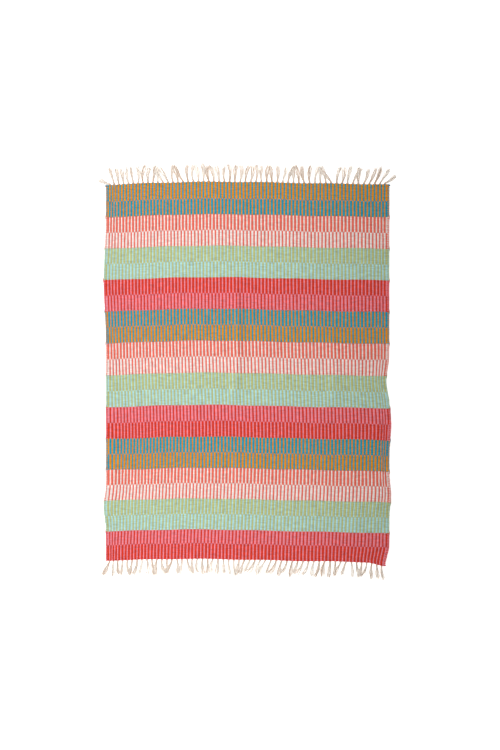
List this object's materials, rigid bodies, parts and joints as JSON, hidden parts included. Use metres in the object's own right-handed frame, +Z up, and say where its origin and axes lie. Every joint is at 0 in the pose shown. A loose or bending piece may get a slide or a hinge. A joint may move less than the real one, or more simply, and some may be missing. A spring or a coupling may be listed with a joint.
{
  "type": "bath mat",
  "caption": "Rectangular flat-woven mat in bright cross bands of narrow lengthwise stripes, with a knotted tassel fringe along both short ends.",
  "frame": {"origin": "centre of the mat on the floor it lies on, the bottom centre of its bounding box", "axes": "+Z up through the mat, +Y along the warp towards the orange and blue end, +X across the width, to the right seen from above with that end away from the viewer"},
  "size_m": [0.6298, 0.894, 0.0044],
  "materials": {
    "orange_weft_yarn": "matte",
    "blue_weft_yarn": "matte",
    "coral_weft_yarn": "matte",
    "white_weft_yarn": "matte",
    "olive_weft_yarn": "matte",
    "sky_weft_yarn": "matte",
    "red_weft_yarn": "matte",
    "pink_weft_yarn": "matte",
    "natural_cotton": "matte"
  },
  "bodies": {
    "root": {"weft_01a_orange": "orange_weft_yarn", "weft_01b_blue": "blue_weft_yarn", "weft_02a_coral": "coral_weft_yarn", "weft_02b_white": "white_weft_yarn", "weft_03a_olive": "olive_weft_yarn", "weft_03b_sky": "sky_weft_yarn", "weft_04a_red": "red_weft_yarn", "weft_04b_pink": "pink_weft_yarn", "weft_05a_blue": "blue_weft_yarn", "weft_05b_orange": "orange_weft_yarn", "weft_06a_coral": "coral_weft_yarn", "weft_06b_white": "white_weft_yarn", "weft_07a_olive": "olive_weft_yarn", "weft_07b_sky": "sky_weft_yarn", "weft_08a_pink": "pink_weft_yarn", "weft_08b_red": "red_weft_yarn", "weft_09a_blue": "blue_weft_yarn", "weft_09b_orange": "orange_weft_yarn", "weft_10a_coral": "coral_weft_yarn", "weft_10b_white": "white_weft_yarn", "weft_11a_olive": "olive_weft_yarn", "weft_11b_sky": "sky_weft_yarn", "weft_12a_pink": "pink_weft_yarn", "weft_12b_red": "red_weft_yarn", "heading_top": "blue_weft_yarn", "heading_bottom": "red_weft_yarn", "warps_thick": "natural_cotton", "warps_thin": "natural_cotton", "selvedge_cord_left": "natural_cotton", "selvedge_cord_right": "natural_cotton", "carried_yarn_left": "olive_weft_yarn", "carried_yarn_right": "olive_weft_yarn", "corner_knots": "blue_weft_yarn", "knots_top": "natural_cotton", "knots_bottom": "natural_cotton", "tassels_top": "natural_cotton", "tassels_bottom": "natural_cotton"}
  },
  "joints": []
}
